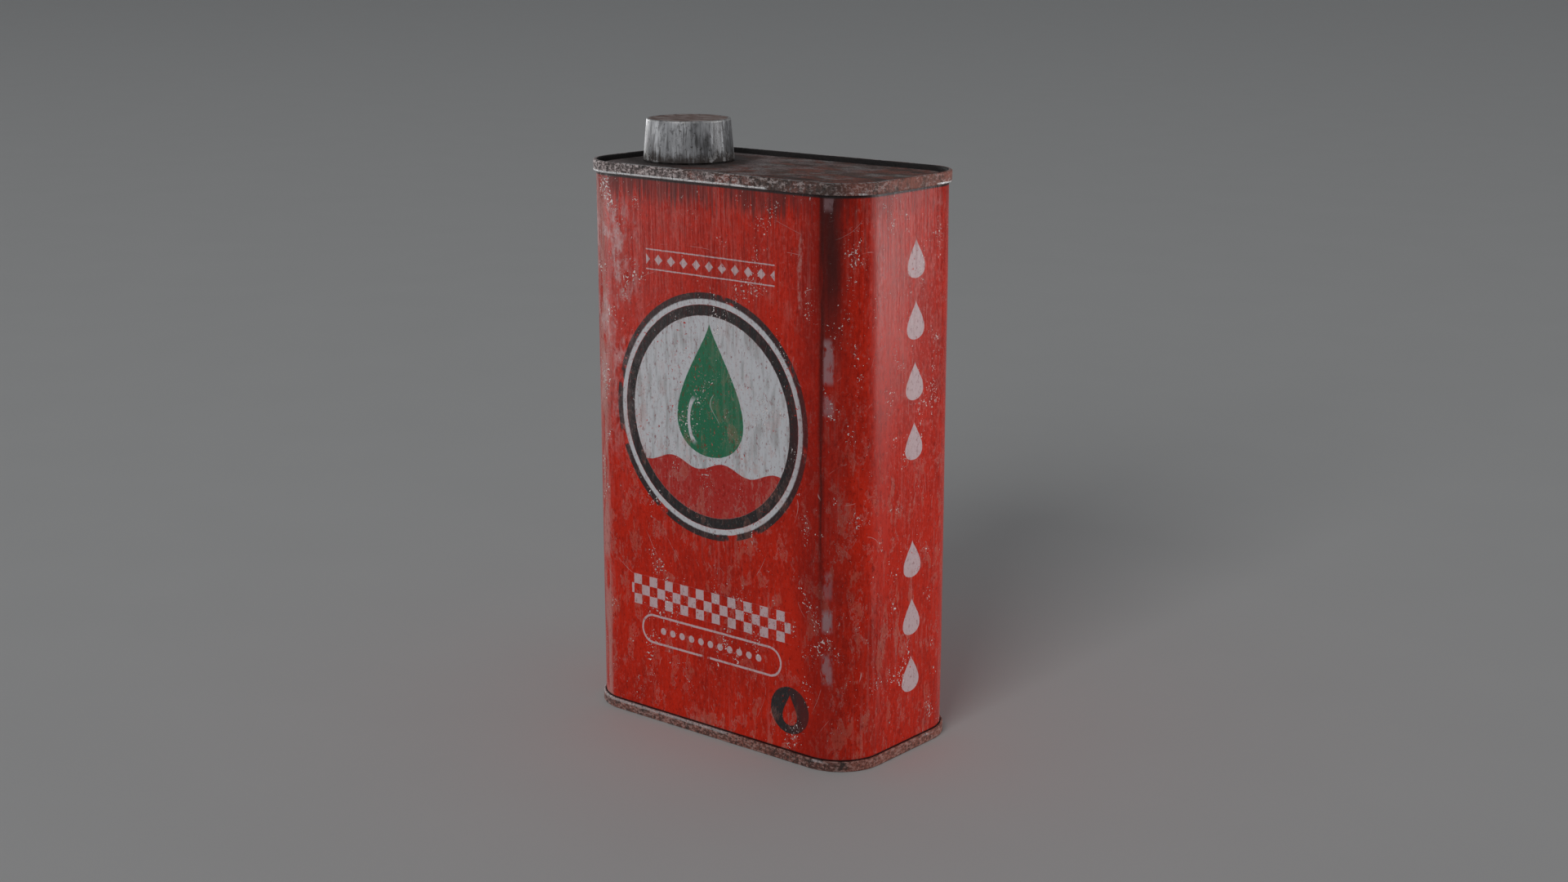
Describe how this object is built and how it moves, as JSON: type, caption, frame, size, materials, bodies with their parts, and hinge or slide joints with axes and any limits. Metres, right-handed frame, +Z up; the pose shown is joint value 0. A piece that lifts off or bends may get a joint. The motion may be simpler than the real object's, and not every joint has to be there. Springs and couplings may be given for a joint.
{
  "type": "oil can",
  "caption": "Upright rectangular oil can in tinplate, with rounded corners, double-seamed ends, an off-centre threaded neck and a tapered screw cap that unscrews.",
  "frame": {"origin": "centre of the foot, on the surface that the tin stands on", "axes": "+Z up; +X along the broad side, away from the neck; the label face looks along -Y"},
  "size_m": [0.1116, 0.0592, 0.1921],
  "materials": {
    "painted_sheet": "glossy red print over tinplate, scratched, chipped and stained",
    "rusted_sheet": "bare tinplate with brown rust, matt, worn bright along its edges",
    "cap_sheet": "dull grey metal with upright streaks and rust at the foot",
    "plain_tinplate": "dull tinplate with light stains",
    "solder": "dull grey solder",
    "sealing_compound": "matt",
    "liner_board": "matt fibrous board, oil stained",
    "liner_foil": "dull foil with the mark of the neck's lip"
  },
  "bodies": {
    "can": {"body_shell": "painted_sheet", "side_seam_solder": "solder", "top_end": "rusted_sheet", "bottom_end": "rusted_sheet", "top_seam_compound": "sealing_compound", "bottom_seam_compound": "sealing_compound", "filler_neck": "plain_tinplate", "neck_solder": "solder"},
    "liner": {"cap_liner": "liner_board", "liner_facing": "liner_foil"},
    "cap": {"cap_shell": "cap_sheet", "cap_insert": "plain_tinplate"}
  },
  "joints": [
    {"name": "cap_rise", "type": "slide", "parent": "can", "child": "liner", "axis": [0, 0, 1], "range_m": [0, 0.0148]},
    {"name": "cap_turn", "type": "hinge", "parent": "liner", "child": "cap", "pos_m": [-0.0333, 0, 0.179], "axis": [0, 0, 1], "range_deg": [0, 1260]}
  ],
  "couplings": [
    {"joint": "cap_rise", "follows": "cap_turn", "m_per_rad": 0.00066845}
  ]
}
